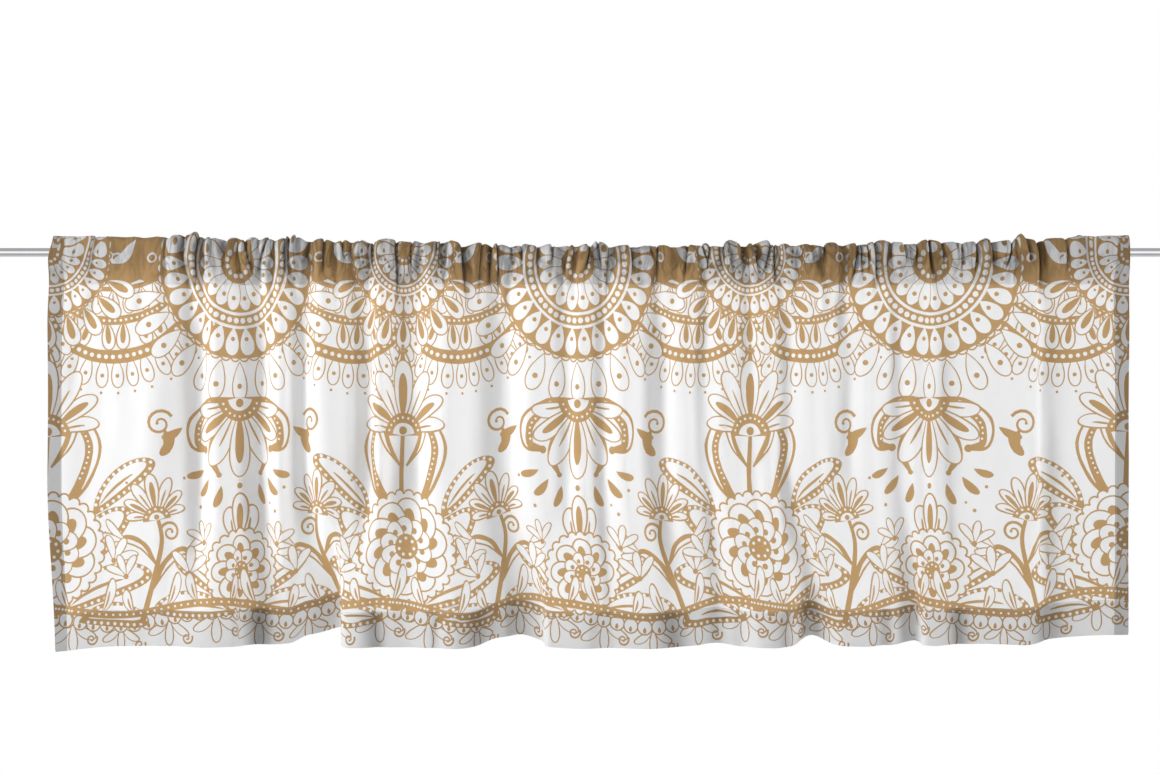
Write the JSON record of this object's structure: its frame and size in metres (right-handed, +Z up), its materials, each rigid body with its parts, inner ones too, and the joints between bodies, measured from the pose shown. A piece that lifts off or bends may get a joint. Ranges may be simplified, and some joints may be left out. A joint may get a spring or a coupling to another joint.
{
  "type": "rod pocket valance on a curtain rod",
  "caption": "Short printed cotton valance gathered on a thin round steel rod that runs through its sewn pocket, with turned side hems and a deep hem at the foot.",
  "frame": {"origin": "centre of the rod's left end face, as seen from the front", "axes": "+X along the rod to its right end, -Y towards the front of the cloth, +Z up"},
  "size_m": [1.754, 0.0542, 0.6067],
  "materials": {
    "printed_cotton": "matt, white with an ochre print",
    "rod_steel": "bright satin"
  },
  "bodies": {
    "root": {"valance_cloth": "printed_cotton", "curtain_rod": "rod_steel"}
  },
  "joints": []
}
